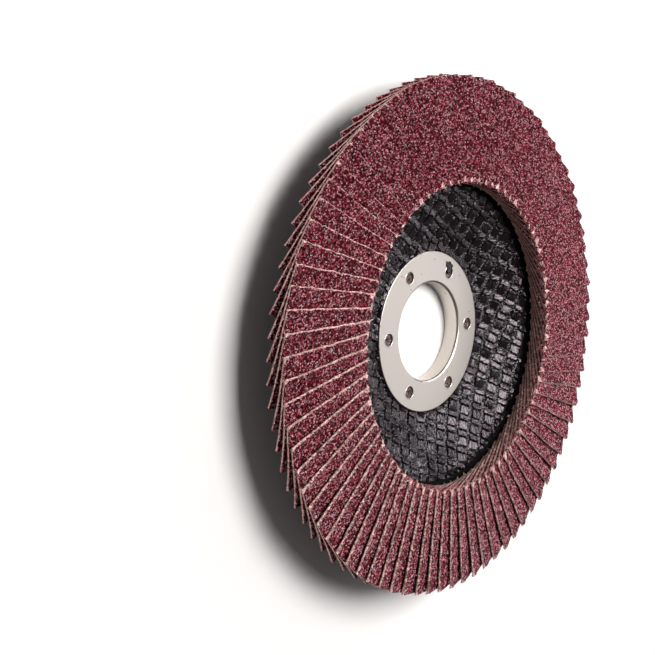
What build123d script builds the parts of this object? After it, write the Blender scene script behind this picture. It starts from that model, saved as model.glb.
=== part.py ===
"""A 115 mm flap disc for an angle grinder.

Oblong flaps of abrasive cloth stand root down in a ring of epoxy on a dished plate of glass cloth
and resin. Each flap leans on the next one round, so that together they make a fan about the dish.
A pressed steel ring lines the bore and takes the grinder's clamping nut.

Units are millimetres. +Z is the disc's axis, towards the abrasive. The origin is on the axis, in
the plane of the hub's back face, on which the disc lies.
"""

import os
from math import atan, cos, degrees, pi, radians, sin, sqrt, tan

from build123d import *

os.makedirs("parts", exist_ok=True)

# ---------------------------------------------------------------- driving dimensions
disc_diameter = 115.0  # across the flaps' outer corners
bore_diameter = 22.23  # takes the pilot of a spindle flange

# Centre ring: one pressing of nickel-plated sheet, a flange with a collar down the bore
ring_sheet = 0.6
flange_width = 7.1  # from the bore's wall to the flange's edge
ring_stand_proud = 0.3  # of the hub's front face
ring_mouth_round = 0.65  # bend from the flange into the collar
ring_edge_round = 0.15
collar_above_back = 0.15  # the collar ends this far short of the hub's back face
key_hole_count = 6
key_hole_diameter = 2.9
key_holes_out = 3.7  # from the bore's wall to the holes' centres
first_key_angle = 1.6
key_below_face = 0.35  # resin in the holes stops below the ring's face

# Backing plate: a flat hub, a sloping web and an annulus that is a very shallow cone
hub_thickness = 3.7
hub_margin = 1.4  # hub outside the ring
web_run = 12.2
web_rise = 5.1
web_back_step = 1.0  # the back's corners lie this far outside the front's
annulus_thickness = 1.9
annulus_tilt = 2.8  # degrees by which the annulus falls away outwards
plate_rim_round = 0.6
hub_bend = 3.0  # radius where hub and web meet
shoulder_bend = 2.4  # radius where web and annulus meet

# Flaps
flap_count = 80
first_flap_angle = 1.2
flap_length = 15.2  # in plan, from root to free edge
flap_thickness = 0.70  # cloth, glue coats and grit
flap_setback = 1.6  # from the web's upper corner out to the middle of a flap's inner edge
flap_overhang = 4.0  # of the outer corners beyond the plate's rim
outer_root_slope = 0.40  # a flap's rise over its run, at the root of its outer edge

# Adhesive
glue_under_roots = 0.35
glue_short_of_rim = 1.5
bead_width = 0.95  # fillet of epoxy against the foot of the flaps' inner edges
bead_height = 0.75
bead_bulge = 0.15
wedge_margin = 0.3  # the wedges stop this far inside the bed's edges
wedge_start = 0.03  # and begin this share of a flap's length in from its root

# Clearances
seat_gap = 0.02  # moulded-in ring to plate
flap_gap = 0.03  # flap to flap, and root to adhesive bed
bead_gap = 0.08  # bead to the flaps' inner edges
wedge_gap = 0.06  # adhesive wedge to the flap above it and the root beside it

# ---------------------------------------------------------------- worked out from them
disc_radius = disc_diameter / 2
bore_radius = bore_diameter / 2
collar_radius = bore_radius + ring_sheet
ring_radius = bore_radius + flange_width
ring_face = hub_thickness + ring_stand_proud
ring_seat = ring_face - ring_sheet
key_circle_radius = bore_radius + key_holes_out

hub_radius = ring_radius + hub_margin
web_radius = hub_radius + web_run
plate_radius = disc_radius - flap_overhang
annulus_fall = tan(radians(annulus_tilt))

half_length = flap_length / 2
flap_pitch = 2 * pi / flap_count
flap_inner_radius = web_radius + flap_setback
flap_outer_radius = sqrt(disc_radius**2 - half_length**2)


def annulus_front(radius):
    """Height of the annulus's front surface."""
    return hub_thickness + web_rise - annulus_fall * (radius - web_radius)


def annulus_back(radius):
    """Height of the annulus's back surface."""
    return annulus_front(radius) - annulus_thickness


# ---------------------------------------------------------------- backing plate
with BuildPart() as backing_plate:
    with BuildSketch(Plane.XZ):
        with BuildLine():
            front = FilletPolyline(
                (collar_radius + seat_gap, hub_thickness),
                (hub_radius, hub_thickness),
                (web_radius, annulus_front(web_radius)),
                (plate_radius, annulus_front(plate_radius)),
                radius=[hub_bend, shoulder_bend],
            )
            back = FilletPolyline(
                (collar_radius + seat_gap, 0),
                (hub_radius + web_back_step, 0),
                (web_radius + web_back_step, annulus_back(web_radius + web_back_step)),
                (plate_radius, annulus_back(plate_radius)),
                radius=[hub_bend, shoulder_bend],
            )
            Line(front @ 0, back @ 0)
            Line(front @ 1, back @ 1)
        make_face()
    revolve(axis=Axis.Z)
    rim = backing_plate.edges().filter_by(GeomType.CIRCLE).group_by(SortBy.RADIUS)[-1]
    fillet(rim, radius=plate_rim_round)
    # the seat that the ring is moulded into
    with BuildSketch(Plane.XY.offset(hub_thickness)):
        Circle(ring_radius + seat_gap)
    extrude(amount=ring_seat - hub_thickness, mode=Mode.SUBTRACT)
    # the resin that keys the ring through its holes
    with BuildSketch(Plane.XY.offset(ring_seat)):
        with PolarLocations(key_circle_radius, key_hole_count, start_angle=first_key_angle):
            Circle(key_hole_diameter / 2 - seat_gap)
    extrude(amount=ring_sheet - key_below_face)
backing_plate.part.label = "backing_plate"
export_step(backing_plate.part, "parts/backing_plate.step")

# ---------------------------------------------------------------- centre ring
with BuildPart() as centre_ring:
    with BuildSketch(Plane.XZ):
        with BuildLine():
            Polyline(
                (bore_radius, collar_above_back),
                (bore_radius, ring_face),
                (ring_radius, ring_face),
                (ring_radius, ring_seat),
                (collar_radius, ring_seat),
                (collar_radius, collar_above_back),
                close=True,
            )
        make_face()
    revolve(axis=Axis.Z)
    face_edges = centre_ring.edges().group_by(Axis.Z)[-1].sort_by(SortBy.RADIUS)
    fillet(face_edges[0], radius=ring_mouth_round)
    fillet(face_edges[-1], radius=ring_edge_round)
    with BuildSketch(Plane.XY.offset(ring_face)):
        with PolarLocations(key_circle_radius, key_hole_count, start_angle=first_key_angle):
            Circle(key_hole_diameter / 2)
    extrude(amount=-2 * ring_sheet, mode=Mode.SUBTRACT)
centre_ring.part.label = "centre_ring"
export_step(centre_ring.part, "parts/centre_ring.step")

# ---------------------------------------------------------------- how the flaps lie
# A flap's own frame: x runs outwards through its middle. Its run is measured clockwise, seen from
# the front, from the root at minus half its length to the free edge at plus half.


def root_underside(radius):
    """Height of the lower corner of a flap's root, which follows the annulus."""
    return annulus_front(radius) + glue_under_roots


def resting_slope(radius, fall):
    """Rise over run at which flaps one pitch apart just clear each other at this radius.

    Turning a sloping sheet by one pitch lifts it by radius x pitch x slope. That has to be the
    sheet's thickness and gap, measured upright, and a little more at the free corner, where the
    outward fall of the sheet brings the neighbour closer.
    """
    room = (flap_thickness + flap_gap) / (radius * flap_pitch)
    corner = fall * half_length / radius
    slope = room + corner
    for _ in range(6):
        slope = room * sqrt(1 + slope**2) + corner
    return slope


# The free edge falls outwards by more than the root does, because the outer edge rises less.
free_edge_fall = annulus_fall
for _ in range(4):
    inner_slope = resting_slope(flap_inner_radius, free_edge_fall)
    outer_free_slope = resting_slope(flap_outer_radius, free_edge_fall)
    lost_rise = flap_length * (inner_slope - (outer_root_slope + outer_free_slope) / 2)
    free_edge_fall = annulus_fall + lost_rise / (flap_outer_radius - flap_inner_radius)

# Inner edge: straight, because here the flaps lie on each other from root to free edge.
inner_angle = atan(inner_slope)
inner_span = (flap_length - flap_thickness * sin(inner_angle)) / cos(inner_angle)
inner_root_top = root_underside(flap_inner_radius) + flap_thickness * cos(inner_angle)

# Outer edge: an arc, steep at the glued root and flatter where it lies on the next flap.
root_angle = atan(outer_root_slope)
free_angle = atan(outer_free_slope)
outer_bend = (flap_length - flap_thickness * sin(free_angle)) / (sin(root_angle) - sin(free_angle))
under_bend = outer_bend - flap_thickness
centre_run = outer_bend * sin(root_angle) - half_length
centre_height = root_underside(flap_outer_radius) - under_bend * cos(root_angle)


def flap_section(radius):
    """Plane across a flap, with its run to the right and up the page."""
    return Plane(origin=(radius, 0, 0), x_dir=(0, -1, 0), z_dir=(-1, 0, 0))


def underside_point(radius, share):
    """Run and height on a flap's underside, where share goes from 0 at the root to 1."""
    inner_run = flap_thickness * sin(inner_angle) - half_length + share * inner_span * cos(inner_angle)
    inner_height = root_underside(flap_inner_radius) + share * inner_span * sin(inner_angle)
    angle = root_angle - share * (root_angle - free_angle)
    outer_run = centre_run - under_bend * sin(angle)
    outer_height = centre_height + under_bend * cos(angle)
    outwards = (radius - flap_inner_radius) / (flap_outer_radius - flap_inner_radius)
    return (
        inner_run + outwards * (outer_run - inner_run),
        inner_height + outwards * (outer_height - inner_height),
    )


# ---------------------------------------------------------------- one flap
with BuildPart() as flap:
    with BuildSketch(flap_section(flap_inner_radius)):
        with Locations(Location((-half_length, inner_root_top), degrees(inner_angle))):
            Rectangle(inner_span, flap_thickness, align=(Align.MIN, Align.MAX))
    with BuildSketch(flap_section(flap_outer_radius)):
        with BuildLine():
            start_angle = 90 + degrees(free_angle)
            turn = degrees(root_angle - free_angle)
            top = CenterArc((centre_run, centre_height), outer_bend, start_angle, turn)
            under = CenterArc((centre_run, centre_height), under_bend, start_angle, turn)
            Line(top @ 0, under @ 0)
            Line(top @ 1, under @ 1)
        make_face()
    loft(ruled=True)

# ---------------------------------------------------------------- flaps, two neighbours a node
for first in range(0, flap_count, 2):
    flaps_here = min(2, flap_count - first)
    with BuildPart() as flap_pair:
        with PolarLocations(
            0,
            flaps_here,
            start_angle=first_flap_angle + first * degrees(flap_pitch),
            angular_range=flaps_here * degrees(flap_pitch),
        ):
            add(flap.part)
    name = f"flap_pair_{first // 2 + 1:02d}"
    flap_pair.part.label = name
    export_step(flap_pair.part, f"parts/{name}.step")

# ---------------------------------------------------------------- adhesive
# A thin bed on the annulus with a bead along its inside, and under each flap a wedge of epoxy that
# fills the space between its own root and the next one.
glue_outer_radius = plate_radius - glue_short_of_rim
bead_outer_radius = flap_inner_radius - bead_gap
bead_inner_radius = bead_outer_radius - bead_width


def bed_top(radius):
    """Height of the bed between the wedges, just clear of the flaps' roots."""
    return root_underside(radius) - flap_gap


def wedge_corners(radius):
    """Section of one wedge, from its flap's root to the next flap's, in run and height."""
    root_run = underside_point(radius, 0)[0]
    free_run = underside_point(radius, 1)[0]
    next_root = radius * tan(flap_pitch) - half_length / cos(flap_pitch) - wedge_gap
    near = underside_point(radius, wedge_start)
    far = underside_point(radius, (next_root - root_run) / (free_run - root_run))
    base = annulus_front(radius) + glue_under_roots / 2
    return (near[0], base), (far[0], base), (far[0], far[1] - wedge_gap), (near[0], near[1] - wedge_gap)


with BuildPart() as wedge:
    for wedge_end in (
        flap_inner_radius + wedge_margin,
        sqrt((glue_outer_radius - wedge_margin) ** 2 - half_length**2),
    ):
        with BuildSketch(flap_section(wedge_end)):
            with BuildLine():
                Polyline(*wedge_corners(wedge_end), close=True)
            make_face()
    loft(ruled=True)

with BuildPart() as adhesive:
    with BuildSketch(Plane.XZ):
        with BuildLine():
            bed = Polyline(
                (bead_inner_radius, annulus_front(bead_inner_radius)),
                (glue_outer_radius, annulus_front(glue_outer_radius)),
                (glue_outer_radius, bed_top(glue_outer_radius)),
                (bead_outer_radius, bed_top(bead_outer_radius)),
                (bead_outer_radius, annulus_front(bead_outer_radius) + bead_height),
            )
            SagittaArc(bed @ 1, bed @ 0, bead_bulge)
        make_face()
    revolve(axis=Axis.Z)
    with PolarLocations(0, flap_count, start_angle=first_flap_angle):
        add(wedge.part)
adhesive.part.label = "adhesive"
export_step(adhesive.part, "parts/adhesive.step")

print("A flap's slope: inner edge", round(inner_slope, 3), "outer edge from", outer_root_slope)
print("to", round(outer_free_slope, 3), "at the free edge. One flap:", flap.part.bounding_box())
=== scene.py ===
# %% [markdown]
# # A flap disc for an angle grinder
# Eighty oblong flaps of abrasive cloth stand in a ring of epoxy on a dished plate of glass cloth
# and resin, and a nickel-plated ring lines the bore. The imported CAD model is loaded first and
# stays as it is. Each cell below dresses one piece of it, or replaces one that needs a richer form.

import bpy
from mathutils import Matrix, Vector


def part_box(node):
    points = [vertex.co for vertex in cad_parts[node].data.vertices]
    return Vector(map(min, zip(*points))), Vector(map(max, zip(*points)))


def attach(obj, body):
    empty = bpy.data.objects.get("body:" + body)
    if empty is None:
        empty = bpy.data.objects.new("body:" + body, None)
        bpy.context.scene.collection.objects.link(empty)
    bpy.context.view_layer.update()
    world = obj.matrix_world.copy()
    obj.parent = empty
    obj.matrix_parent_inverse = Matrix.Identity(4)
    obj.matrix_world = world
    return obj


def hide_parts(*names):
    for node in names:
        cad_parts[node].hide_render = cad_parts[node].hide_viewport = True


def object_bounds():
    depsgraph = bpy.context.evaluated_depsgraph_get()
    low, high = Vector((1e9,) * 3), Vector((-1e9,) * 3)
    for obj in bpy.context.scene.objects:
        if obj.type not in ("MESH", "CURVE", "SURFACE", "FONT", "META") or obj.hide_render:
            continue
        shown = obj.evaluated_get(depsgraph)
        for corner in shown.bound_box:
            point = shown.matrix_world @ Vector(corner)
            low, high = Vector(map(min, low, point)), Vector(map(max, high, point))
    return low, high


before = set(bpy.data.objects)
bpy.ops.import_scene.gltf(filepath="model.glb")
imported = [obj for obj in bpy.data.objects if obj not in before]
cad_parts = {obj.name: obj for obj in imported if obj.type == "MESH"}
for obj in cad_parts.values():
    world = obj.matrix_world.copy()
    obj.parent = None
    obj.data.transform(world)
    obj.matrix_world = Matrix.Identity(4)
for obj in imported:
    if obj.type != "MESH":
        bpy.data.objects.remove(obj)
cad_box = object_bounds()
print("CAD box in mm:", [round(1000 * value, 3) for corner in cad_box for value in corner])

# %% Modules
from math import atan, cos, pi, radians, sin, sqrt, tan

import bpy
import numpy as np
from mathutils import Matrix, Vector

# %% [markdown]
# ## Sizes
# The model is in metres, and a workshop drawing is in millimetres. So sizes are written in
# millimetres, and every finished point is multiplied by MM once. What the frame can tell is read
# from it: the top of the flaps, the plate's edge, and the ring's edge and face. The rest repeats
# the drawing.

# %% Sizes read from the frame, and those that repeat the drawing, in millimetres
MM = 0.001

ring, plate = (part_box(name) for name in ("centre_ring", "backing_plate"))
disc_radius = 115.0 / 2
disc_top = cad_box[1].z / MM
ring_radius = ring[1].x / MM
ring_face = ring[1].z / MM
plate_radius = plate[1].x / MM

fit_gap = 0.02
bore_radius = 22.23 / 2
ring_sheet = 0.6
ring_stand_proud = 0.3
hub_face = ring_face - ring_stand_proud
ring_seat = ring_face - ring_sheet
seat_radius = ring_radius + fit_gap
collar_radius = bore_radius + ring_sheet + fit_gap

hub_radius = ring_radius + 1.4
web_radius = hub_radius + 12.2
web_top = hub_face + 5.1
web_back_step = 1.0
annulus_thickness = 1.9
annulus_fall = tan(radians(2.8))

key_hole_count = 6
key_hole_radius = 2.9 / 2
key_circle_radius = bore_radius + 3.7
first_key_angle = radians(1.6)

flap_count = 80
flap_pitch = 2 * pi / flap_count
first_flap_angle = radians(1.2)
flap_length = 15.2
half_length = flap_length / 2
flap_thickness = 0.70
flap_gap = 0.03
flap_inner_radius = web_radius + 1.6
flap_outer_radius = sqrt(disc_radius**2 - half_length**2)
flap_breadth = flap_outer_radius - flap_inner_radius
glue_under_roots = 0.35

print("disc", 2 * disc_radius, "mm across, flaps", round(flap_breadth, 2), "mm broad")

# %% [markdown]
# ## Colours and nodes
# A colour is written as the hex value that a paint program shows, and Cycles works in linear
# light, so one function turns the first into the second. A material could be built by hand in the
# node editor. Here one small function adds a node, so that a material reads as a list. The sockets
# of a Mix node share their names, so they are told apart by number.

# %% Colour and node helpers
FACTOR, NUMBER_A, NUMBER_B, COLOUR_A, COLOUR_B = 0, 2, 3, 6, 7
MIXED_COLOUR = 2
IN_COLOUR = {"data_type": "RGBA"}


def linear(hex_colour):
    """Linear RGBA of an sRGB hex value.

    A dark channel c becomes c/12.92, and any other ((c + 0.055)/1.055)^2.4.
    """
    channels = [int(hex_colour[i : i + 2], 16) / 255 for i in (1, 3, 5)]
    light = (c / 12.92 if c <= 0.04045 else ((c + 0.055) / 1.055) ** 2.4 for c in channels)
    return (*light, 1.0)


def per_mm(size):
    """Texture scale at which one cell of a pattern is this many millimetres wide."""
    return 1 / (size * MM)


def wire(material, node, sources):
    """Feed each input of a node from an output, or from the first output of a node given."""
    for name, source in sources.items():
        output = source if isinstance(source, bpy.types.NodeSocket) else source.outputs[0]
        material.node_tree.links.new(output, node.inputs[name])


def add_node(material, kind, inputs=None, links=None, settings=None, stops=()):
    """Add a node, whose kind is Blender's name for it without "ShaderNode".

    Inputs are its own socket values, links its wires, settings its properties, and stops the
    colours of a ramp, each a position and a hex value.
    """
    node = material.node_tree.nodes.new("ShaderNode" + kind)
    for name, value in (settings or {}).items():
        setattr(node, name, value)
    for name, value in (inputs or {}).items():
        node.inputs[name].default_value = value
    for _ in stops[2:]:
        node.color_ramp.elements.new(0.5)
    for index, (position, colour) in enumerate(stops):
        node.color_ramp.elements[index].position = position
        node.color_ramp.elements[index].color = linear(colour)
    wire(material, node, links or {})
    return node


def new_material(name, **inputs):
    """A material with one Principled shader, and that shader. Inputs are its own socket values."""
    material = bpy.data.materials.new(name)
    material.use_nodes = True
    shader = material.node_tree.nodes["Principled BSDF"]
    for socket, value in inputs.items():
        shader.inputs[socket.replace("_", " ")].default_value = value
    return material, shader


print("mid grey #808080 is", round(linear("#808080")[0], 3), "in linear light")

# %% [markdown]
# ## Nickel-plated steel
# The ring is pressed from sheet and barrel plated with nickel, which leaves a warm satin grey. It
# could be given a mirror finish with scratches on top. A moderate roughness that wanders a little
# is closer, because barrel plating is even and slightly milky. A few pits stay bare. They are
# drawn about 0.3 mm wide, several times their real width, so that they show as tiny dark specks.
# The CAD ring already has its bend, edge and six pierced holes, so it stays and only takes the
# material.

# %% Material of the ring, and the ring itself
nickel, shader = new_material("nickel_plated_steel_satin", Metallic=1.0)
here = add_node(nickel, "TexCoord").outputs["Object"]
cloud = add_node(nickel, "TexNoise", {"Scale": per_mm(5), "Detail": 3.0}, {"Vector": here})
grain = add_node(nickel, "TexNoise", {"Scale": per_mm(0.25), "Detail": 2.0}, {"Vector": here})
pits = add_node(nickel, "TexVoronoi", {"Scale": per_mm(2.2)}, {"Vector": here})
speck = add_node(nickel, "MapRange", {"From Min": 0.05, "From Max": 0.09}, {"Value": pits})
dull = add_node(
    nickel, "ValToRGB", links={"Fac": speck}, stops=[(0.0, "#5a524c"), (1.0, "#d3cbc3")]
)
gloss = add_node(nickel, "MapRange", {"To Min": 0.29, "To Max": 0.39}, {"Value": cloud})
plating = add_node(nickel, "Bump", {"Strength": 0.25, "Distance": 0.01 * MM}, {"Height": grain})
wire(nickel, shader, {"Base Color": dull, "Roughness": gloss, "Normal": plating})

ring_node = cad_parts["centre_ring"]
ring_node.data.materials.clear()
ring_node.data.materials.append(nickel)
print("ring:", len(ring_node.data.polygons), "faces kept from the CAD model")

# %% [markdown]
# ## Black phenolic resin over glass cloth
# The plate is moulded from layers of coarse glass cloth soaked in black phenolic resin. The resin
# skin follows every yarn, so the eye sees small glossy blocks with dull gaps between. The yarns
# are real geometry further down. The material only adds what is finer: an orange-peeled skin,
# painted shade that darkens the grooves to near black, and the filaments of a yarn. Those are a
# hundredth of a millimetre thick and would not show, so they are drawn as streaks 2.4 mm long and
# 0.4 mm wide. The attribute "yarn" is 1 on a crest and 0 in a gap, and "warp" is 1 where the warp
# is on top. Its blocks are painted a little darker than the bars' crests, a painted highlight on
# the bars, and their streaks run the other way.

# %% Material of the plate
weave_turn = radians(-24.5)
streak_length, streak_stretch = 2.4, 6.0
resin, shader = new_material(
    "phenolic_resin_glass_cloth_moulded", IOR=1.56, Specular_Tint=linear("#fff0f9")
)
here = add_node(resin, "TexCoord").outputs["Object"]
yarn, warp_on_top = (
    add_node(resin, "Attribute", settings={"attribute_name": name}).outputs["Fac"]
    for name in ("yarn", "warp")
)
skin = add_node(
    resin, "TexNoise", {"Scale": per_mm(0.8), "Detail": 4.0, "Roughness": 0.6}, {"Vector": here}
)
# Painted shade: where the yarn falls into a gap, the colour goes to near black.
tone = add_node(
    resin, "ValToRGB", links={"Fac": yarn}, stops=[(0.30, "#020101"), (0.55, "#21191d")]
)
# Painted highlight: the warp blocks take a darker colour than the bars' crests, so the bars read
# brighter.
mixed = {FACTOR: warp_on_top, COLOUR_A: tone}
skin_with_painted_light = add_node(resin, "Mix", {COLOUR_B: linear("#130d10")}, mixed, IN_COLOUR)
gloss = add_node(
    resin,
    "MapRange",
    {"From Min": 0.3, "From Max": 0.7, "To Min": 0.12, "To Max": 0.24},
    {"Value": skin},
)
streaks = []
for stretch in ((streak_stretch, 1.0, 1.0), (1.0, streak_stretch, 1.0)):
    turned = add_node(
        resin, "Mapping", {"Rotation": (0, 0, -weave_turn), "Scale": stretch}, {"Vector": here}
    )
    noise = add_node(
        resin, "TexNoise", {"Scale": per_mm(streak_length), "Detail": 2.0}, {"Vector": turned}
    )
    streaks.append(noise)
lay = add_node(
    resin, "Mix", links={FACTOR: warp_on_top, NUMBER_A: streaks[1], NUMBER_B: streaks[0]}
)
peel = add_node(resin, "Bump", {"Strength": 0.5, "Distance": 0.06 * MM}, {"Height": skin})
filaments = add_node(
    resin, "Bump", {"Strength": 1.0, "Distance": 0.20 * MM}, {"Height": lay, "Normal": peel}
)
skin_with_painted_light = skin_with_painted_light.outputs[MIXED_COLOUR]
wire(resin, shader, {"Base Color": skin_with_painted_light, "Roughness": gloss, "Normal": filaments})
print("resin:", len(resin.node_tree.nodes), "nodes")

# %% [markdown]
# ## The backing plate
# The plate is a solid of revolution with a woven relief. One way is a smooth plate with a bump
# texture, but then its shoulder stays perfectly smooth in outline. Here its section is swept
# round the axis on a fine grid, and each point is pushed in along the section's normal by the
# depth of the weave at its place. So the body's crests stay on the CAD surface.


# %% The plate's section
def unit(vectors):
    """Vectors divided by their length."""
    return vectors / np.linalg.norm(vectors, axis=-1, keepdims=True)


def rounded(points, radii, arc_points=9):
    """Path through points whose inner corners are arcs.

    An arc starts r*tan(half the turn) before its corner and ends as far past it.
    """
    points = [np.array(point, float) for point in points]
    path = [points[0]]
    for before, corner, after, radius in zip(points, points[1:], points[2:], radii):
        into, out = unit(corner - before), unit(after - corner)
        turn = np.arctan2(into[0] * out[1] - into[1] * out[0], into @ out)
        reach = radius * np.tan(abs(turn) / 2)
        side = np.array([-into[1], into[0]]) * np.sign(turn)
        centre = corner - into * reach + side * radius
        x, y = -side * radius
        for angle in np.linspace(0, turn, arc_points):
            path.append(centre + [x * cos(angle) - y * sin(angle), x * sin(angle) + y * cos(angle)])
    path.append(points[-1])
    return np.array(path)


def annulus_front(radius):
    """Height of the annulus's front: a shallow cone that falls outwards from the web's top."""
    return web_top - annulus_fall * (radius - web_radius)


def spaced(path, spacing, samples=4000):
    """Points along a path, with the wanted spacing at each place.

    They lie at equal steps of the sum of length/spacing along the path.
    """
    length = np.concatenate([[0], np.cumsum(np.linalg.norm(np.diff(path, axis=0), axis=1))])
    fine = np.linspace(0, length[-1], samples)
    radius, height = np.interp(fine, length, path[:, 0]), np.interp(fine, length, path[:, 1])
    steps = np.concatenate([[0], np.cumsum(np.diff(fine) / spacing(radius, height)[1:])])
    at = np.interp(np.linspace(0, steps[-1], int(np.ceil(steps[-1])) + 1), steps, fine)
    return np.stack([np.interp(at, fine, radius), np.interp(at, fine, height)], -1)


back_corner = web_radius + web_back_step
foot_bend, shoulder_bend, rim_bend = 3.0, 2.4, 0.6
dish = rounded(
    [
        (collar_radius, 0),
        (hub_radius + web_back_step, 0),
        (back_corner, annulus_front(back_corner) - annulus_thickness),
        (plate_radius, annulus_front(plate_radius) - annulus_thickness),
        (plate_radius, annulus_front(plate_radius)),
        (web_radius, web_top),
        (hub_radius, hub_face),
        (seat_radius, hub_face),
    ],
    [foot_bend, shoulder_bend, rim_bend, rim_bend, shoulder_bend, foot_bend],
)


def is_front(radius, height):
    """Whether a point of the section is above the dish's middle surface, so on its front."""
    web_ends = [hub_radius, web_radius]
    middle = np.interp(radius, web_ends, [hub_face / 2, web_top - annulus_thickness / 2])
    return height > middle - annulus_fall * np.maximum(radius - web_radius, 0)


# Coarse on the front, which the cloth covers, and fine on the back, where the weave shows.
shown = spaced(dish, lambda radius, height: np.where(is_front(radius, height), 2.0, 0.55))
hidden = [(seat_radius, ring_seat), (collar_radius, ring_seat), (collar_radius, ring_seat / 2)]
section = np.concatenate([shown, np.array(hidden)])
print("plate section:", len(section), "points")

# %% [markdown]
# ## The weave
# The cloth is an open glass mesh: flat warp ribbons side by side, tied down by a weft yarn every
# 3.75 mm. So a row of cells shows a narrow bar, the weft on top, and then a longer block, the warp
# between two wefts. A displacement texture could raise them, but it would have to be painted
# first. A formula on x and y is simpler. Each yarn is a gently curved hump with steep sides, and
# the surface is the highest of them. Pressing tilts every hump a little, which makes some flash
# and leaves others dark, and a bar slopes down to where it dives under the next block. The rows
# waver slowly, the edges waver fast, and the resin in the grooves is rough.

# %% The weave's height
column_pitch, row_pitch = 3.38, 3.75
weave_depth = 0.60
weave_start = (0.636, 0.133)
bar_middle, bar_width, bar_length, bar_height = 0.78, 2.7, 1.3, 0.45
block_middle, block_width, block_length, block_height = 2.62, 2.4, 2.05, 0.41
side_steepness, groove_roughness = 20, 0.11
repeat, offset_row = 64, 7
block_tilt, bar_tilt = np.random.default_rng(31).uniform(-1, 1, (2, 3, repeat, repeat))


def hump(distance, width):
    """1 in a yarn's middle and 0 from its edge on: 1 - |2*distance/width|^steepness, at least 0."""
    return np.clip(1 - np.abs(2 * distance / width) ** side_steepness, 0, 1)


def glass_mesh(x, y):
    """Share of the weave's depth, from 0 in a gap to 1 on a crest, and whether the warp is on top.

    Place is measured in cells along two turned axes, plus slow sine waves. In a cell, a block and
    a bar are each a height, plus a tilt times the distance from the middle, less a curve times
    that distance squared, and all that times a hump across and a hump along. Heights, tilts and
    edges each have a random part. The result is the highest of block, bar and rough groove.
    """
    u = (x * cos(weave_turn) + y * sin(weave_turn)) / column_pitch + weave_start[0]
    v = (y * cos(weave_turn) - x * sin(weave_turn)) / row_pitch + weave_start[1]
    wander = 0.07 * np.sin(2.9 * x + 1.7 * np.sin(1.9 * y))
    wander = wander * np.sin(3.3 * y + 1.3 * np.sin(2.3 * x))
    u, v = (
        u + 0.06 * np.sin(0.9 * v + 1) + 0.02 * np.sin(4.1 * v),
        v + 0.07 * np.sin(0.7 * u) + 0.03 * np.sin(3.3 * u + 2),
    )
    column = np.floor(u).astype(int)
    v = v + 0.09 * block_tilt[0, column % repeat, offset_row]
    row = np.floor(v).astype(int)
    across = (u - column - 0.5) * column_pitch + wander
    from_bar, from_block = (
        (v - row) * row_pitch - middle + wander for middle in (bar_middle, block_middle)
    )
    block_u, block_v, block_high = block_tilt[:, column % repeat, row % repeat]
    bar_u, bar_v, bar_high = bar_tilt[:, column % repeat, row % repeat]

    block = block_height + 0.09 * block_high + (0.16 * block_u + 0.03) * across
    block = block + (0.17 * block_v + 0.06) * from_block - 0.04 * from_block**2
    block *= hump(across + 0.15 * bar_u, block_width + 0.2 * block_high)
    block *= hump(from_block + 0.12 * bar_v, block_length)

    bar = bar_height + 0.05 * bar_high + (0.09 * bar_u + 0.07) * across
    bar = bar + (0.11 * bar_v - 0.19) * from_bar - 0.14 * from_bar**2
    bar *= hump(across + 0.15 * block_u, bar_width)
    bar *= hump(from_bar + 0.1 * block_v, bar_length + 0.12 * bar_high)

    groove = groove_roughness * np.random.default_rng(5).uniform(0, 1, across.shape)
    level = np.maximum(np.maximum(block, bar), groove) / weave_depth
    return np.clip(level, 0, 1), (block > bar).astype(float)


line = np.linspace(20, 30, 400)
print("weave: mean height along a line", round(float(glass_mesh(line, 0 * line)[0].mean()), 2))

# %% [markdown]
# ## From arrays to a mesh
# A mesh could be filled point by point, but that takes minutes for half a million points, where
# foreach_set hands over a whole numpy array in milliseconds. Points are kept in rows and columns,
# so the faces are the same few sums for every piece.


# %% Mesh helpers
def build_mesh(name, points, face_groups, material, smooth=True, sharp_angle=None):
    """Mesh object from points in mm, shape (n, 3), and an array of faces for each corner count."""
    mesh = bpy.data.meshes.new(name)
    corners = np.concatenate([group.ravel() for group in face_groups])
    sizes = np.concatenate([np.full(len(group), group.shape[1]) for group in face_groups])
    mesh.vertices.add(len(points))
    mesh.vertices.foreach_set("co", (points * MM).astype(np.float32).ravel())
    mesh.loops.add(len(corners))
    mesh.loops.foreach_set("vertex_index", corners.astype(np.int32))
    mesh.polygons.add(len(sizes))
    mesh.polygons.foreach_set("loop_start", (np.cumsum(sizes) - sizes).astype(np.int32))
    mesh.polygons.foreach_set("use_smooth", np.full(len(sizes), smooth))
    mesh.update(calc_edges=True)
    if sharp_angle:
        mesh.set_sharp_from_angle(angle=radians(sharp_angle))
    mesh.materials.append(material)
    piece = bpy.data.objects.new(name, mesh)
    bpy.context.scene.collection.objects.link(piece)
    return piece


def point_values(piece, name, values):
    """Store one number for each vertex as an attribute that a material can read."""
    attribute = piece.data.attributes.new(name, "FLOAT", "POINT")
    attribute.data.foreach_set("value", values.astype(np.float32).ravel())


def grid_faces(rows, columns, wrap_rows=False, wrap_columns=False):
    """Quads of points stored row by row. A wrapped direction joins its end to its start."""
    row = np.arange(rows if wrap_rows else rows - 1)[:, None]
    column = np.arange(columns if wrap_columns else columns - 1)[None, :]
    above, below = row * columns, (row + 1) % rows * columns
    right = (column + 1) % columns
    quads = [above + column, above + right, below + right, below + column]
    return np.stack(quads, -1).reshape(-1, 4)


def smoothstep(low, high, value):
    """0 below low, 1 above high, and 3t^2 - 2t^3 of the share t between them."""
    t = np.clip((value - low) / (high - low), 0, 1)
    return t * t * (3 - 2 * t)


def normals_of(path):
    """Unit normals of an anticlockwise section: its direction, turned by a quarter to the right."""
    direction = np.roll(path, -1, 0) - np.roll(path, 1, 0)
    return unit(np.stack([direction[:, 1], -direction[:, 0]], -1))


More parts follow.
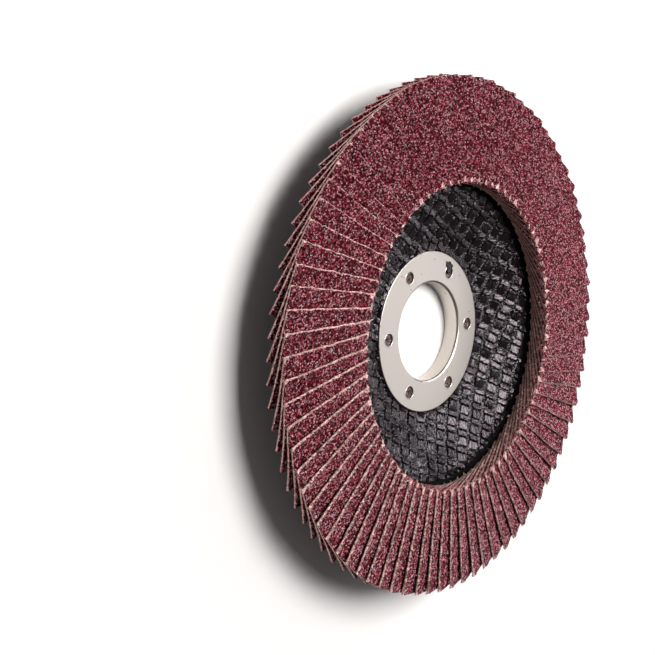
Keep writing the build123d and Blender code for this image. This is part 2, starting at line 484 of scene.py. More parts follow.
def woven_sweep(name, path, steps, woven, sunk, shift, smooth):
    """The section swept round the axis.

    Each point goes in along its normal by sunk + depth*(1 - weave). Shift moves the weave along y.
    """
    around = np.linspace(0, 2 * pi, steps, endpoint=False)
    radius, height = path[:, :1], path[:, 1:]
    weave, warp = glass_mesh(radius * np.cos(around), radius * np.sin(around) + shift)
    push = weave_depth * woven[:, None] * (1 - weave) + sunk[:, None]
    side = normals_of(path)
    radial, level = radius - push * side[:, :1], height - push * side[:, 1:]
    points = np.stack([radial * np.cos(around), radial * np.sin(around), level], -1)
    faces = grid_faces(*points.shape[:2], True, True)
    piece = build_mesh(name, points.reshape(-1, 3), [faces], resin, smooth)
    point_values(piece, "yarn", np.where(woven[:, None] > 0, weave, 0.5))
    point_values(piece, "warp", warp)
    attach(piece, "root")
    print(name, 2 * len(piece.data.polygons), "triangles, lowest", round(float(level.min()), 3))
    return piece


# %% The plate's body
cloth_end = 34.2
sunk_under_cloth, back_shift = 0.7, 0.7
collar_fade, rim_fade = 0.8, (51.8, 52.9)
section_radius, section_height = section[:, 0], section[:, 1]
front = is_front(section_radius, section_height)
woven = smoothstep(collar_radius, collar_radius + collar_fade, section_radius)
woven = woven * (1 - smoothstep(*rim_fade, section_radius)) * ~front
woven[len(shown) :] = 0
covered = front & (section_radius > seat_radius - 0.01) & (section_radius < cloth_end)
sunk = sunk_under_cloth * (covered & (section_height > ring_seat + 0.01))
plate_piece = woven_sweep("moulded_plate", section, 640, woven, sunk, back_shift, True)
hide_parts("backing_plate")

# %% [markdown]
# The front layer of cloth is a shell of its own, so that it can have a grid of 0.2 mm, about half
# of the groove between two yarns. It is shaded flat, because pressed resin breaks the light into
# small facets. Near the flaps it rises 0.3 mm, so that the weave runs up to their feet and hides
# the epoxy. Its underside lies inside the body, and its ends are hidden by the ring and the flaps.

# %% The front layer of cloth
cloth_grid, back_grid, cloth_thickness = 0.2, 2.0, 0.95
foot_rise, rise, fade = 0.30, (32.2, 33.2), (33.6, 34.0)
front_path = dish[is_front(dish[:, 0], dish[:, 1]) & (dish[:, 0] < web_radius + 2.5)]
front_path = np.concatenate([[(cloth_end, annulus_front(cloth_end))], front_path])
cloth_top = spaced(front_path, lambda radius, height: np.full_like(radius, cloth_grid))
cloth_top[:, 1] += foot_rise * smoothstep(*rise, cloth_top[:, 0])
back_path = front_path[::-1] - [0, cloth_thickness]
cloth_back = spaced(back_path, lambda radius, height: np.full_like(radius, back_grid))
cloth_section = np.concatenate([cloth_top, cloth_back])
woven = smoothstep(seat_radius, seat_radius + 0.4, cloth_section[:, 0])
woven = woven * (1 - smoothstep(*fade, cloth_section[:, 0]))
woven[len(cloth_top) :] = 0
woven_sweep("front_glass_cloth", cloth_section, 960, woven, 0 * woven, 0.0, False)

# %% [markdown]
# ## Resin in the ring's holes
# When the plate is moulded, resin rises into the ring's six holes and locks it. It stops a little
# below the steel, lumpy, and brown where glass fibre is mixed in. A plug could be a cylinder with
# noise on its top, but rings of points with random heights give real lumps for few faces. At one
# hole black resin ran out over the steel: a flat dome whose outline is a circle plus three sine
# waves. The punch also left each hole a rounded rim, a small torus that catches the light.

# %% The plugs
plug_resin, shader = new_material("phenolic_resin_squeezed_out", Roughness=0.45, IOR=1.6)
here = add_node(plug_resin, "TexCoord").outputs["Object"]
fibres = add_node(plug_resin, "TexNoise", {"Scale": per_mm(0.6), "Detail": 3.0}, {"Vector": here})
tone = add_node(
    plug_resin, "ValToRGB", links={"Fac": fibres}, stops=[(0.38, "#1c1210"), (0.62, "#6d5048")]
)
wire(plug_resin, shader, {"Base Color": tone})


def ring_stack_faces(rings):
    """Sides of stacked rings of points, and a flat face at both ends of every stack.

    Rings has the shape (stacks, rings, points, 3), and a stack's last ring is its top.
    """
    stacks, count, points = rings.shape[:3]
    starts = np.arange(stacks)[:, None] * count * points
    sides = grid_faces(count, points, wrap_columns=True) + starts[:, :, None]
    top = starts + (count - 1) * points + np.arange(points)
    return [sides.reshape(-1, 4), np.concatenate([starts + np.arange(points)[::-1], top])]


spokes, plug_rings = 28, 6
plug_sink, plug_lumps, plug_middle = 0.35, 0.16, 0.12
hole_angles = first_key_angle + np.arange(key_hole_count) * 2 * pi / key_hole_count
hole_x, hole_y = key_circle_radius * np.cos(hole_angles), key_circle_radius * np.sin(hole_angles)
turn = np.linspace(0, 2 * pi, spokes, endpoint=False)
share = np.linspace(1, plug_middle, plug_rings)[:, None]
lumps = np.random.default_rng(6).uniform(-1, 1, (key_hole_count, plug_rings, spokes))
lumps = ring_face - plug_sink + plug_lumps * lumps * (share < 0.99)
foot = np.full((key_hole_count, 1, spokes), ring_seat + fit_gap)
level = np.concatenate([foot, lumps], 1)
reach = (key_hole_radius - fit_gap) * np.concatenate([share[:1], share])
plug_x = hole_x[:, None, None] + reach * np.cos(turn)
plug_y = hole_y[:, None, None] + reach * np.sin(turn)
rings = np.stack([plug_x, plug_y, level], -1)
plug_faces = ring_stack_faces(rings)
plugs = build_mesh("resin_plugs", rings.reshape(-1, 3), plug_faces, plug_resin, sharp_angle=35)
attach(plugs, "root")
print("plugs:", key_hole_count, "with", len(plugs.data.polygons), "faces")

# %% The rims of the holes, and the resin that ran over
round_steps, bend_steps = 40, 10
rim_round, rim_sunk = 0.13, 0.08
turn = np.linspace(0, 2 * pi, round_steps, endpoint=False)
bend_turn = np.linspace(0, 2 * pi, bend_steps, endpoint=False)[:, None]
rim_radius = key_hole_radius + fit_gap + rim_round * np.cos(bend_turn)
rim_height = ring_face - rim_sunk + rim_round * np.sin(bend_turn) + 0 * turn
rim = np.stack([rim_radius * np.cos(turn), rim_radius * np.sin(turn), rim_height], -1)
rims = rim.reshape(-1, 3) + np.stack([hole_x, hole_y, 0 * hole_x], -1)[:, None]
starts = (np.arange(key_hole_count) * round_steps * bend_steps)[:, None, None]
rim_faces = grid_faces(bend_steps, round_steps, True, True) + starts
hole_rims = build_mesh("punched_hole_rims", rims.reshape(-1, 3), [rim_faces.reshape(-1, 4)], nickel)
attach(hole_rims, "root")

spill_rings = 7
spill_hole, spill_height, spill_skirt = 1, 0.14, 0.1
share = np.linspace(1, 0.1, spill_rings)[:, None]
spill_reach = 1 + 0.16 * np.sin(3 * turn + 1) + 0.12 * np.sin(5 * turn + 2)
spill_reach = spill_reach + 0.08 * np.sin(9 * turn)
spill_x = hole_x[spill_hole] - 0.15 + 1.3 * spill_reach * share * np.cos(turn)
spill_y = hole_y[spill_hole] + 1.25 + 1.4 * spill_reach * share * np.sin(turn)
spill_z = ring_face + spill_height * np.sqrt(1 - share**2) + 0 * turn
rings = np.stack([spill_x, spill_y, spill_z], -1)
rings = np.concatenate([rings[:1] - [0, 0, spill_skirt], rings])
spill_faces = ring_stack_faces(rings[None])
resin_spill = build_mesh("resin_run_over", rings.reshape(-1, 3), spill_faces, resin)
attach(resin_spill, "root")
print("hole rims:", 2 * len(hole_rims.data.polygons), "triangles")

# %% [markdown]
# ## Black epoxy
# The flaps stand in epoxy that was poured as a ring and pressed out by their roots. It could be
# swept afresh, but the CAD bed already has a wedge under every flap. So its triangles are read
# and its shape is kept, apart from the small fillet in front of the flaps, which is sunk under the
# cloth. The material is a dull black with a slow sag in its surface.

# %% The adhesive
epoxy, shader = new_material(
    "epoxy_adhesive_cured", Base_Color=linear("#050404"), Roughness=0.6, Specular_IOR_Level=0.12
)
here = add_node(epoxy, "TexCoord").outputs["Object"]
waves = add_node(epoxy, "TexNoise", {"Scale": per_mm(1.2), "Detail": 3.0}, {"Vector": here})
sag = add_node(epoxy, "Bump", {"Strength": 0.8, "Distance": 0.3 * MM}, {"Height": waves})
wire(epoxy, shader, {"Normal": sag})

bed_in_annulus = 0.03
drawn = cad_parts["adhesive"].data
bed_points = np.empty(3 * len(drawn.vertices), np.float32)
bed_corners = np.empty(len(drawn.loops), np.int32)
drawn.vertices.foreach_get("co", bed_points)
drawn.loops.foreach_get("vertex_index", bed_corners)
bed_points = np.round(bed_points.reshape(-1, 3) / MM, 3)
bed_points, merged = np.unique(bed_points, axis=0, return_inverse=True)
bed_radius = np.hypot(bed_points[:, 0], bed_points[:, 1])
bed_top = annulus_front(bed_radius) + glue_under_roots - bed_in_annulus
off_top = np.abs(bed_points[:, 2] - bed_top) > 0.004
in_fillet = (bed_radius < flap_inner_radius - bed_in_annulus) & off_top
sunk_level = annulus_front(bed_radius) - 0.5 + 0.42 * (bed_radius - bed_radius.min())
bed_points[:, 2] = np.where(in_fillet, sunk_level, bed_points[:, 2])
bed_faces = merged.reshape(-1)[bed_corners].reshape(-1, 3)
bed = build_mesh("epoxy_bed", bed_points, [bed_faces], epoxy, smooth=False)
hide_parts("adhesive")
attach(bed, "root")
print("epoxy bed:", len(bed_faces), "triangles,", int(in_fillet.sum()), "points of its fillet sunk")

# %% [markdown]
# ## Abrasive cloth
# A flap is cloth with a coat of glue, grains of aluminium oxide and a second coat of maroon resin
# over them. Seen close, each grain is a facet that catches light its own way, and the crevices
# between the grains are painted dark as shade. Real grains would be millions of facets, but a
# Voronoi texture is a heap of grains too. Its cells get random tones, the lightest of them
# pink-white as painted glints, and tilts through the bump: the height in a cell is the offset from
# its centre times a random slope. A cell is 0.30 mm, a grain between grades 50 and 60. The back of
# the cloth is brown, and a cut edge is cream, pink where resin soaked in. The attribute "grit" is
# 1 on the coat and 0 on bare cloth. Above 1 it marks the coat's cut section at the inner ends,
# painted dark brown: partly the coat's own dark resin and grit, partly painted shade between the
# flaps' ends. "cut" is 1 on a cut edge.

# %% Material of the flaps
grain_size, thread_size, facet_depth = 0.30, 0.5, 2.8
abrasive, shader = new_material(
    "aluminium_oxide_grit_on_resin_treated_cloth",
    Specular_IOR_Level=0.06,
    Specular_Tint=linear("#ffa8b2"),
)
here = add_node(abrasive, "TexCoord").outputs["Object"]
coat, cut = (
    add_node(abrasive, "Attribute", settings={"attribute_name": name}).outputs["Fac"]
    for name in ("grit", "cut")
)
grains = add_node(abrasive, "TexVoronoi", {"Scale": per_mm(grain_size)}, {"Vector": here})
subtract, multiply = {"operation": "SUBTRACT"}, {"operation": "DOT_PRODUCT"}
from_centre = {0: here, 1: grains.outputs["Position"]}
offset = add_node(abrasive, "VectorMath", None, from_centre, subtract)
dice_colour = grains.outputs["Color"]
slope = add_node(abrasive, "VectorMath", {1: (0.5, 0.5, 0.5)}, {0: dice_colour}, subtract)
facet = add_node(abrasive, "VectorMath", None, {0: offset, 1: slope}, multiply).outputs["Value"]
grit_bump = add_node(
    abrasive, "Bump", {"Strength": 1.0, "Distance": facet_depth}, {"Height": facet}
)
random_number = add_node(abrasive, "SeparateColor", links={"Color": dice_colour})
# The two lightest stops stand for glints: painted highlights on the grains.
dark_half = [(0.0, "#240408"), (0.43, "#701a28"), (0.61, "#b4465a")]
painted_glint_stops = [(0.75, "#ea8f9c"), (0.89, "#ffd0d7")]
grit_colour = add_node(
    abrasive, "ValToRGB", links={"Fac": random_number}, stops=dark_half + painted_glint_stops
)
# Painted shade: the borders between grain cells are darkened, as in crevices.
between = add_node(
    abrasive, "MapRange", {"From Min": 0.42, "From Max": 0.72, "To Max": 0.9}, {"Value": grains}
)
# The coat's cut section at the inner ends is darkened: partly its own dark resin and grit, partly
# painted shade between the flaps' ends.
section_tone_and_shade = add_node(abrasive, "MapRange", {"From Min": 1.05, "From Max": 1.4}, {"Value": coat})
for share, dark in ((between, "#25050b"), (section_tone_and_shade, "#160604")):
    mixed = {FACTOR: share, COLOUR_A: grit_colour}
    mix = add_node(abrasive, "Mix", {COLOUR_B: linear(dark)}, mixed, IN_COLOUR)
    grit_colour = mix.outputs[MIXED_COLOUR]

threads = add_node(
    abrasive, "TexNoise", {"Scale": per_mm(thread_size), "Detail": 3.0}, {"Vector": here}
)
back_tone, edge_tone = (
    add_node(abrasive, "ValToRGB", links={"Fac": threads}, stops=stops)
    for stops in ([(0.35, "#523420"), (0.65, "#a27448")], [(0.35, "#e4a19a"), (0.52, "#ffd8d5")])
)
chips = add_node(abrasive, "Math", None, {0: coat, 1: threads}, {"operation": "ADD"})
coated = add_node(abrasive, "MapRange", {"From Min": 0.9, "From Max": 1.1}, {"Value": chips})
flap_colour = back_tone
for share, other in ((cut, edge_tone), (coated, grit_colour)):
    mixed = {FACTOR: share, COLOUR_A: flap_colour, COLOUR_B: other}
    flap_colour = add_node(abrasive, "Mix", None, mixed, IN_COLOUR).outputs[MIXED_COLOUR]
gloss = add_node(abrasive, "MapRange", {"To Min": 0.85, "To Max": 0.6}, {"Value": coated})
wire(abrasive, shader, {"Base Color": flap_colour, "Roughness": gloss, "Normal": grit_bump})
print("abrasive cloth:", len(abrasive.node_tree.nodes), "nodes")

# %% [markdown]
# ## The fan of flaps
# A flap is a sheet. Its inner edge is straight and its outer edge is bowed, and both come from the
# drawing's own sums, so it sits exactly where the CAD flap is. A plane with Solidify and an array
# round the disc would make eighty equal flaps. Worked out as arrays, each can differ. Its top has
# a fine grid where it shows and a coarse one where its neighbour covers it. Three things make it
# look cut from cloth: its free edge draws back unevenly by a few tenths of a millimetre, the coat
# has chipped off the corners and the rim, and grains stand at random depths in the coat.


# %% How a flap lies
def resting_slope(radius, fall):
    """Rise over run at which flaps one pitch apart just clear each other at this radius.

    It is thickness/spacing * sqrt(1 + slope^2), plus the corner's own fall, solved by repeating.
    """
    room = (flap_thickness + flap_gap) / (radius * flap_pitch)
    corner = fall * half_length / radius
    slope = room + corner
    for _ in range(6):
        slope = room * sqrt(1 + slope**2) + corner
    return slope


root_slope = 0.40
free_edge_fall = annulus_fall
for _ in range(4):
    inner_slope = resting_slope(flap_inner_radius, free_edge_fall)
    free_slope = resting_slope(flap_outer_radius, free_edge_fall)
    lost_rise = flap_length * (inner_slope - (root_slope + free_slope) / 2)
    free_edge_fall = annulus_fall + lost_rise / flap_breadth
inner_angle, root_angle, free_angle = atan(inner_slope), atan(root_slope), atan(free_slope)
inner_span = (flap_length - flap_thickness * sin(inner_angle)) / cos(inner_angle)
bend = (flap_length - flap_thickness * sin(free_angle)) / (sin(root_angle) - sin(free_angle))
under_bend = bend - flap_thickness
centre_run = bend * sin(root_angle) - half_length
inner_foot = annulus_front(flap_inner_radius) + glue_under_roots
outer_foot = annulus_front(flap_outer_radius) + glue_under_roots
centre_height = outer_foot - under_bend * cos(root_angle)


def sheet_point(radius, share, level):
    """Run and height in a flap: between a straight line at its inner end and an arc at the other.

    Share goes from 0 at the root to 1 at the free edge, level from 0 under the cloth to 1 on top.
    """
    thick = flap_thickness * level
    along = share * inner_span
    inner_run = (flap_thickness - thick) * sin(inner_angle) + along * cos(inner_angle) - half_length
    inner_height = inner_foot + along * sin(inner_angle) + thick * cos(inner_angle)
    angle = root_angle - share * (root_angle - free_angle)
    outer_run = centre_run - (under_bend + thick) * np.sin(angle)
    outer_height = centre_height + (under_bend + thick) * np.cos(angle)
    outwards = (radius - flap_inner_radius) / flap_breadth
    height = inner_height + outwards * (outer_height - inner_height)
    return inner_run + outwards * (outer_run - inner_run), height


def in_place(radius, run, height, angle):
    """Points in the disc, from radius along the flap's middle line, run clockwise, and height."""
    x = radius * np.cos(angle) + run * np.sin(angle)
    y = radius * np.sin(angle) - run * np.cos(angle)
    return np.stack([x, y, height], -1)


print("flap slopes: inner", round(inner_slope, 3), "outer", root_slope, "to", round(free_slope, 3))

# %% One flap's net of faces
rows, under_step = 97, 3
columns_hidden, columns_shown, columns_edge = 5, 17, 3
columns = columns_hidden + columns_shown + columns_edge


def once_round(grids):
    """The borders of grids, once round: along the first row, down the last column, and back."""
    sides = (grids[:, 0, :-1], grids[:, :-1, -1], grids[:, -1, :0:-1], grids[:, :0:-1, 0])
    return np.concatenate(sides, 1)


def flap_net():
    """Faces of one flap: a fine top, two rings round its border, and a coarse underside.

    The underside has every third row, so a face between it and the ring above has six corners.
    """
    top = np.arange(rows * columns).reshape(rows, columns)
    border = once_round(top[None])[0]
    count = len(border)
    upper = top.size + np.arange(count)
    lower = upper + count
    under_rows = (rows - 1) // under_step + 1
    under = top.size + 2 * count + np.arange(under_rows * columns).reshape(under_rows, columns)
    quads = [grid_faces(rows, columns), grid_faces(under_rows, columns)[:, ::-1] + under[0, 0]]
    for high, low in ((border, upper), (upper, lower)):
        quads.append(np.stack([high, low, np.roll(low, -1), np.roll(high, -1)], -1))
    for start, edge in ((0, under[0]), (columns + rows - 2, under[-1, ::-1])):
        above = lower[start : start + columns]
        quads.append(np.stack([above[:-1], edge[:-1], edge[1:], above[1:]], -1))
    hexagons = []
    for start, edge in ((columns - 1, under[:, -1]), (2 * columns + rows - 3, under[::-1, 0])):
        above = lower[(start + np.arange(rows)) % count]
        first, second, third, fourth = (
            above[offset : rows - 1 + offset : under_step] for offset in range(under_step + 1)
        )
        hexagons.append(np.stack([first, edge[:-1], edge[1:], fourth, third, second], -1))
    return np.concatenate(quads), np.concatenate(hexagons), under[-1, -1] + 1


quads, hexagons, flap_points = flap_net()
flap_triangles = 2 * len(quads) + 4 * len(hexagons)
print("a flap:", flap_points, "points,", flap_triangles, "triangles")

# %% Eighty flaps at once: where each one's points lie along it and across it
each_flap, each_row = (flap_count, 1, 1), (flap_count, rows, 1)
dice = np.random.default_rng(80)


def softened(values, axis, passes):
    """Neighbouring values averaged as 1-2-1 along an axis, several times over."""
    for _ in range(passes):
        padded = np.concatenate([values.take([0], axis), values, values.take([-1], axis)], axis)
        size = values.shape[axis]
        moved = (padded.take(range(start, start + size), axis) for start in range(3))
        values = sum(weight * part for weight, part in zip((0.25, 0.5, 0.25), moved))
    return values


along = np.linspace(0, 1, rows)[None, :, None]
inner_draw = dice.uniform(0, 0.22, each_flap)
outer_draw = dice.uniform(0, 0.30, each_flap)
row_radius = flap_inner_radius + inner_draw + along * (flap_breadth - inner_draw - outer_draw)

waver = 0.25 * softened(dice.uniform(-1, 1, each_row), 1, 12)
draw_back = dice.uniform(0.0, 0.3, each_flap) + dice.uniform(-0.15, 0.3, each_flap) * along + waver
draw_back = draw_back + 0.07 * dice.uniform(-1, 1, each_row)
edge_share = 1 - np.maximum(draw_back, 0) / flap_length
lip = 0.10 + 0.14 * dice.uniform(0, 1, each_row)

hidden_shares = np.linspace(0, 0.56, columns_hidden, endpoint=False)
shown_shares = np.linspace(0.66, 1, columns_shown)
last_column, chip_line = 0.55, 0.28
shares = np.concatenate([hidden_shares, shown_shares]) * (edge_share - last_column / flap_length)
at_edge = [edge_share - chip_line / flap_length, edge_share - lip / flap_length, edge_share]
shares = np.concatenate([shares, *at_edge], -1)
print("free edges draw back by up to", round(float(draw_back.max()), 2), "mm")

# %% How high each point stands in the coat, and where the coat is gone
rim_high, edge_level = 0.93, 0.34
from_corner = (edge_share - shares) * flap_length
inner_and_outer = np.reshape([1.0, 0.6], (2, 1, 1, 1))
chip_size = dice.uniform(0.4, 1.3, (2, *each_flap)) * inner_and_outer
kept_coat = np.ones_like(shares)
row_length = 24
for size, from_end in zip(chip_size, (along * row_length, (1 - along) * row_length)):
    kept_coat *= smoothstep(0.7 * size, 1.2 * size, np.hypot(0.8 * from_end, from_corner))

stands = softened(softened(dice.uniform(0, 1, shares.shape), 1, 1), 2, 1)
stands = np.clip((stands - 0.5) * 1.9 + 0.5, 0, 1)
levels = 1 - 0.28 * (1 - stands) - 0.22 * (1 - kept_coat)
levels[..., -2] = np.minimum(levels[..., -2], rim_high)
levels[..., -1] = edge_level
grit = kept_coat.copy()
grit[..., -2] *= dice.uniform(0.35, 0.9, (flap_count, rows))
grit[..., -1] *= dice.uniform(0.0, 0.3, (flap_count, rows))
grid_radius = np.broadcast_to(row_radius, levels.shape)
print("coat kept on", round(100 * float(kept_coat.mean()), 1), "% of the grid")

# %% The rings round each border, the underside, and the points in place
dark_and_shaded_section, coat_at_foot = 1.8, 0.55
inner_cloth_cut, back_edge_cut = 0.80, 0.3


def flap_arrays(values, upper, lower, under):
    """One array for all the points of each flap: top grid, upper ring, lower ring, underside."""
    top = values.reshape(flap_count, -1)
    return np.concatenate([top, upper, lower, under.reshape(flap_count, -1)], 1)


thin = np.s_[:, ::under_step]
rim_level = once_round(levels)
at_inner_end = np.arange(rim_level.shape[1]) < columns - 1
foot_level = np.where(at_inner_end, 0.80, dice.uniform(0.5, 0.68, rim_level.shape))
cloth_level = np.where(at_inner_end, 0.60, 0.26)
# At the inner ends the upper ring is marked as the coat's cut section, whose dark colour is partly
# painted shade.
foot_grit = np.where(at_inner_end, dark_and_shaded_section, coat_at_foot) * once_round(grit)
rim_cut = np.where(at_inner_end, inner_cloth_cut, 1.0) + 0 * rim_level
under_cut = 0 * grit[thin]
under_cut[:, 0] = back_edge_cut

all_radius, all_share = (
    flap_arrays(values, once_round(values), once_round(values), values[thin])
    for values in (grid_radius, shares)
)
foot_level = np.minimum(foot_level, rim_level - 0.02)
cloth_level = np.minimum(cloth_level, rim_level - 0.04)
all_level = flap_arrays(levels, foot_level, cloth_level, 0 * levels[thin])
all_grit = flap_arrays(grit, foot_grit, 0 * rim_level, 0 * grit[thin])
all_cut = flap_arrays(np.ones_like(levels), rim_cut, rim_cut, under_cut)

run, height = sheet_point(all_radius, all_share, all_level)
shown_from = 1 - all_radius * flap_pitch / flap_length + flap_gap
lift = dice.uniform(0, 0.45, (flap_count, 1)) * (all_radius - flap_inner_radius) / flap_breadth
lift = lift * np.clip((all_share - shown_from) / (1 - shown_from), 0, 1) ** 2
height = np.minimum(height + lift, disc_top)
flap_angle = (first_flap_angle + flap_pitch * np.arange(flap_count))[:, None]
flap_xyz = in_place(all_radius, run, height, flap_angle)
tip_radius = float(np.hypot(flap_xyz[..., 0], flap_xyz[..., 1]).max())
print("flaps:", round(tip_radius, 3), "mm out and", round(float(height.max()), 3), "mm up")

# %% Two flaps a piece, as the CAD model has them
pair_faces = [np.concatenate([group, group + flap_points]) for group in (quads, hexagons)]
for pair in range(flap_count // 2):
    chosen = slice(2 * pair, 2 * pair + 2)
    name = f"abrasive_flaps_{pair + 1:02d}"
    piece = build_mesh(name, flap_xyz[chosen].reshape(-1, 3), pair_faces, abrasive, smooth=False)
    point_values(piece, "grit", all_grit[chosen])
    point_values(piece, "cut", all_cut[chosen])
    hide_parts(f"flap_pair_{pair + 1:02d}")
    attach(piece, "root")
print("flaps:", flap_count * flap_triangles, "triangles")

# %% [markdown]
# ## Frayed ends
# Where a blade cut the cloth, short yarn ends stand out. They could be hair particles, but those
# are no mesh. So they are tubes with four sides, each along a short curve that starts in the cloth
# and bends at random. They are drawn about twice as thick as real yarn ends, so that they still
# show. What would reach past the disc's own edge or top is bent back to it.

# %% The fibres
yarn_radius, middle_radius = 0.095, 46
rings_each, sides_each = 5, 4
cotton, shader = new_material("cotton_yarn_cut", Base_Color=linear("#ead3c2"), Roughness=0.9)
here = add_node(cotton, "TexCoord").outputs["Object"]
dust = add_node(cotton, "TexNoise", {"Scale": per_mm(2.0)}, {"Vector": here})
tone = add_node(
    cotton, "ValToRGB", links={"Fac": dust}, stops=[(0.35, "#d3a898"), (0.6, "#f3e2d2")]
)
wire(cotton, shader, {"Base Color": tone})


def fibres_at(flap, radius, share, level, reach, dice):
    """Tubes of four sides along start + (t - 0.15)*direction + t^2*droop, for t from 0 to 1."""
    run, height = sheet_point(radius, share, level)
    angle = first_flap_angle + flap_pitch * flap
    start = in_place(radius, run, height, angle)
    clockwise = np.stack([np.sin(angle), -np.cos(angle), 0 * angle], -1)
    outwards = np.stack([np.cos(angle), np.sin(angle), 0 * angle], -1)
    nearer_end = np.sign(middle_radius - radius)[:, None]
    count = len(flap)
    ahead = dice.uniform(0.2, 1.0, (count, 1)) * clockwise
    ahead = ahead + dice.uniform(-1.0, 0.4, (count, 1)) * outwards * nearer_end
    ahead = ahead + np.array([0, 0, 1]) * dice.uniform(-0.5, 0.35, (count, 1))
    ahead = unit(ahead) * dice.uniform(0.4, 1, (count, 1)) * reach
    droop = dice.uniform(-0.35, 0.35, (count, 3)) * reach
    t = np.linspace(0, 1, rings_each)[None, :, None]
    spine = start[:, None] + (t - 0.15) * ahead[:, None] + t**2 * droop[:, None]
    along = unit(np.gradient(spine, axis=1))
    side = unit(np.cross(along, np.array([0.31, 0.2, 0.93])))
    other = np.cross(along, side)
    around = (np.arange(sides_each) * 2 * pi / sides_each)[:, None]
    spoke = side[:, :, None] * np.cos(around) + other[:, :, None] * np.sin(around)
    thick = yarn_radius * (1 - 0.5 * t[..., None])
    x, y, z = np.moveaxis(spine[:, :, None] + thick * spoke, -1, 0)
    too_far = np.maximum(np.hypot(x, y) / (disc_radius - 0.05), 1)
    return np.stack([x / too_far, y / too_far, np.minimum(z, disc_top - 0.02)], -1)


dice = np.random.default_rng(12)
free_edge = (flap_inner_radius, flap_outer_radius - 0.5)
frayed_places = (
    ("inner corners", 6, flap_inner_radius + 0.10, 0.985, 1.1),
    ("outer corners", 2, flap_outer_radius - 0.45, 0.985, 0.5),
    ("free edges", 8, None, 0.988, 0.3),
    ("feet", 3, flap_inner_radius - 0.02, 0.06, 0.7),
)
tufts = []
for title, per_flap, at_radius, at_share, reach in frayed_places:
    flap = np.repeat(np.arange(flap_count), per_flap)
    count = len(flap)
    at_radius = dice.uniform(*free_edge, count) if at_radius is None else at_radius
    at_radius = at_radius + dice.uniform(0, 0.3, count)
    at_share = at_share + dice.uniform(-0.03, 0, count)
    tufts.append(fibres_at(flap, at_radius, at_share, dice.uniform(0.1, 0.5, count), reach, dice))
    print("yarn ends at the", title + ":", count)
rings = np.concatenate(tufts)
fray = build_mesh("frayed_yarn_ends", rings.reshape(-1, 3), ring_stack_faces(rings), cotton)
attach(fray, "root")
print("the highest yarn end is at", round(float(rings[..., 2].max()), 3), "mm")

# %% [markdown]
# ## Floor, light and camera
# The disc lies on a plain pale sheet. The sheet reaches far past the lamps, so it glows more and
# more from 0.25 m on, and stays pale in a low view. One soft box hangs over the disc, towards +Y,
# and brings out the free edges. A wide card towards +X lights the nickel ring, and a lower one
# fills what the ring mirrors on its other side. A small low window between them and +Y gives the
# woven web its highlights. The world is pale near the horizon and almost dark overhead, where it
# would only wash out the black resin.

# %% Floor
floor_half, floor_drop = 3000.0, 0.01
glow_from, glow_to, most_glow = 0.25, 1.0, 0.70
pale = linear("#f4f3f2")
paper, shader = new_material(
    "matt_white_paper", Base_Color=pale, Emission_Color=pale, Roughness=0.9
)
here = add_node(paper, "TexCoord").outputs["Object"]
pulp = add_node(paper, "TexNoise", {"Scale": per_mm(1.5), "Detail": 3.0}, {"Vector": here})
tooth = add_node(paper, "Bump", {"Strength": 0.2, "Distance": 0.03 * MM}, {"Height": pulp})
far_off = add_node(paper, "VectorMath", links={0: here}, settings={"operation": "LENGTH"})
far_glow = add_node(
    paper,
    "MapRange",
    {"From Min": glow_from, "From Max": glow_to, "To Max": most_glow},
    {"Value": far_off.outputs["Value"]},
)
paper_inputs = {"Normal": tooth, "Emission Strength": far_glow}
wire(paper, shader, paper_inputs)
corners = np.array([(-1, -1), (1, -1), (1, 1), (-1, 1)]) * floor_half
corners = np.c_[corners, np.full(4, -floor_drop)]
floor = build_mesh("floor", corners, [np.array([[0, 1, 2, 3]])], paper)
print("floor:", 2 * floor_half / 1000, "m square")


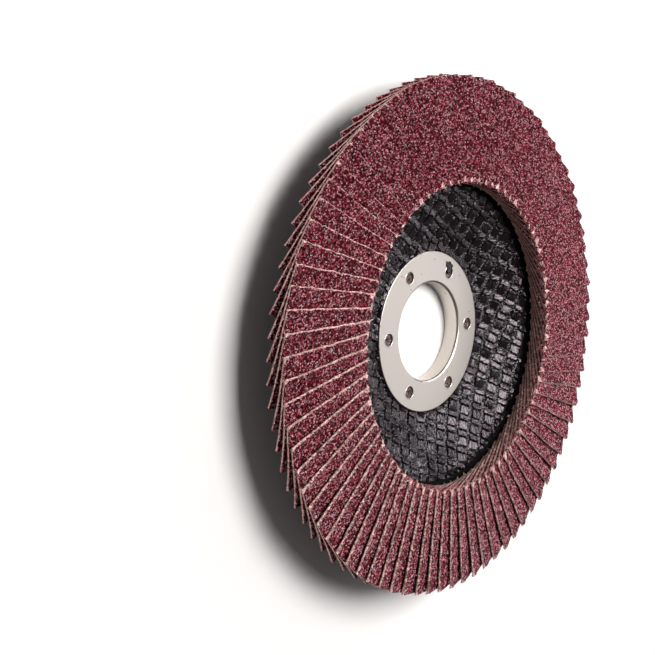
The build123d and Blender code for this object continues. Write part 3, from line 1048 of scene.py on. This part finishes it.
# %% Lights
def soft_box(name, direction, distance, width, depth, radiance, colour):
    """Oblong lamp that faces the disc, its width along x, with power radiance*pi*width*depth."""
    lamp = bpy.data.lights.new(name, "AREA")
    lamp.shape = "RECTANGLE"
    lamp.size, lamp.size_y = width, depth
    lamp.energy = radiance * pi * width * depth
    lamp.color = linear(colour)[:3]
    toward = Vector(direction).normalized()
    side = Vector((0, 1, 0)).cross(toward).normalized()
    holder = bpy.data.objects.new(name, lamp)
    turned = Matrix((side, toward.cross(side), toward)).transposed().to_4x4()
    holder.matrix_world = Matrix.Translation(toward * distance) @ turned
    bpy.context.scene.collection.objects.link(holder)
    print(name, "gives", round(lamp.energy, 2), "W")


soft_box("overhead_soft_box", (0.15, 0.34, 0.93), 0.75, 0.45, 0.45, 11.7, "#fffdfb")
soft_box("side_card", (0.79, -0.12, 0.60), 1.0, 0.5, 0.5, 0.94, "#fdfdff")
soft_box("far_card", (0.94, -0.08, 0.30), 1.0, 0.25, 0.4, 1.9, "#fdfdff")
soft_box("low_window", (0.72, 0.50, 0.49), 1.0, 0.3, 0.3, 7.8, "#f4f7ff")

horizon, overhead = 0.75, 0.08
world = bpy.data.worlds.new("pale_room")
bpy.context.scene.world = world
world.use_nodes = True
background = world.node_tree.nodes["Background"]
background.inputs["Color"].default_value = linear("#f6f6f8")
direction = add_node(world, "TexCoord").outputs["Generated"]
upwards = add_node(world, "SeparateXYZ", links={0: direction})
glow = add_node(
    world,
    "MapRange",
    {"From Min": 0.03, "From Max": 0.30, "To Min": horizon, "To Max": overhead},
    {"Value": upwards.outputs["Z"]},
)
wire(world, background, {"Strength": glow})

# %% Camera
image_size = 655
focal_pixels = 1223.8
centre_row = 275.0
camera_place = Vector((-222.05, 39.38, 166.39)) * MM
look_at = Vector((-35.43, 15.14, 4.0)) * MM
up = Vector((0.0642, 0.9951, -0.0748))
lens = bpy.data.cameras.new("camera")
lens.sensor_width = 36.0
lens.lens = focal_pixels / image_size * lens.sensor_width
lens.shift_y = (centre_row - image_size / 2) / image_size
lens.clip_start, lens.clip_end = 0.01, 20.0
camera = bpy.data.objects.new("camera", lens)
bpy.context.scene.collection.objects.link(camera)
ahead = (look_at - camera_place).normalized()
right = ahead.cross(up).normalized()
turned = Matrix((right, right.cross(ahead), -ahead)).transposed().to_4x4()
camera.matrix_world = Matrix.Translation(camera_place) @ turned
bpy.context.scene.camera = camera
bpy.context.scene.view_settings.view_transform = "Standard"
print("camera lens:", round(lens.lens, 2), "mm")

# %% The end
bpy.context.view_layer.update()
